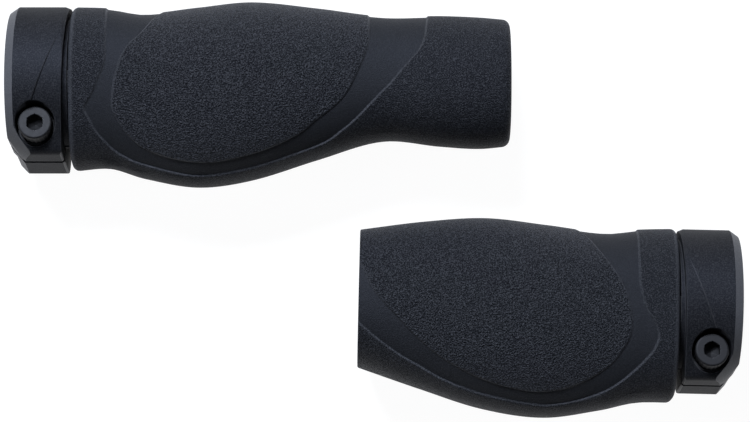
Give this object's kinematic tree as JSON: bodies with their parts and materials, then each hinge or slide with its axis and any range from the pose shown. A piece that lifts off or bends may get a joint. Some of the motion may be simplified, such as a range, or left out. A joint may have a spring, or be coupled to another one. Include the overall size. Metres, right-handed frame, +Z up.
{
  "type": "pair of lock-on handlebar grips",
  "caption": "Pair of ergonomic lock-on handlebar grips, a long one and a short one for a twist-shifter side, with winged rubber sleeves, slit clamp rings, socket screws and end caps.",
  "frame": {"origin": "on the table, under the middle of the pair's bounding box", "axes": "+X along the bars toward the short grip's clamp, +Z up out of the table, +Y from the short grip toward the long grip"},
  "size_m": [0.1906, 0.1094, 0.0406],
  "materials": {
    "core": "glass-filled nylon, matt black",
    "sleeve": "black moulded rubber, leather grain with a smooth band",
    "clamp": "forged, satin black anodised",
    "washer": "black oxide",
    "screw": "black oxide",
    "cap": "moulded, fine matt black"
  },
  "bodies": {
    "long_grip": {"long_core": "core", "long_sleeve": "sleeve"},
    "long_clamp": {"long_clamp": "clamp"},
    "long_cap": {"long_cap": "cap"},
    "long_washer": {"long_washer": "washer"},
    "long_screw": {"long_screw": "screw"},
    "short_grip": {"short_core": "core", "short_sleeve": "sleeve"},
    "short_clamp": {"short_clamp": "clamp"},
    "short_cap": {"short_cap": "cap"},
    "short_washer": {"short_washer": "washer"},
    "short_screw": {"short_screw": "screw"}
  },
  "joints": [
    {"name": "long_clamp_slide", "type": "slide", "parent": "long_grip", "child": "long_clamp", "axis": [-1, 0, 0], "range_m": [0, 0.015]},
    {"name": "long_cap_pull", "type": "slide", "parent": "long_clamp", "child": "long_cap", "axis": [-1, 0, 0], "range_m": [0, 0.012]},
    {"name": "long_screw_travel", "type": "slide", "parent": "long_clamp", "child": "long_washer", "axis": [0, 0.2385, 0.9711], "range_m": [0, 0.0096]},
    {"name": "long_screw_turn", "type": "hinge", "parent": "long_washer", "child": "long_screw", "pos_m": [-0.08735, 0.02178, 0.03271], "axis": [0, 0.2385, 0.9711], "range_deg": [0, 4320]},
    {"name": "short_grip_lift", "type": "slide", "parent": "long_grip", "child": "short_grip", "axis": [0, 0, 1], "range_m": [0, 0.12]},
    {"name": "short_clamp_slide", "type": "slide", "parent": "short_grip", "child": "short_clamp", "axis": [0.9997, -0.0227, 0], "range_m": [0, 0.015]},
    {"name": "short_cap_pull", "type": "slide", "parent": "short_clamp", "child": "short_cap", "axis": [0.9997, -0.0227, 0], "range_m": [0, 0.012]},
    {"name": "short_screw_travel", "type": "slide", "parent": "short_clamp", "child": "short_washer", "axis": [0.0054, 0.2385, 0.9711], "range_m": [0, 0.0096]},
    {"name": "short_screw_turn", "type": "hinge", "parent": "short_washer", "child": "short_screw", "pos_m": [0.08708, -0.03675, 0.03271], "axis": [0.0054, 0.2385, 0.9711], "range_deg": [0, 4320]}
  ],
  "couplings": [
    {"joint": "long_screw_turn", "follows": "long_screw_travel", "rad_per_m": 7854},
    {"joint": "short_screw_turn", "follows": "short_screw_travel", "rad_per_m": 7854}
  ]
}
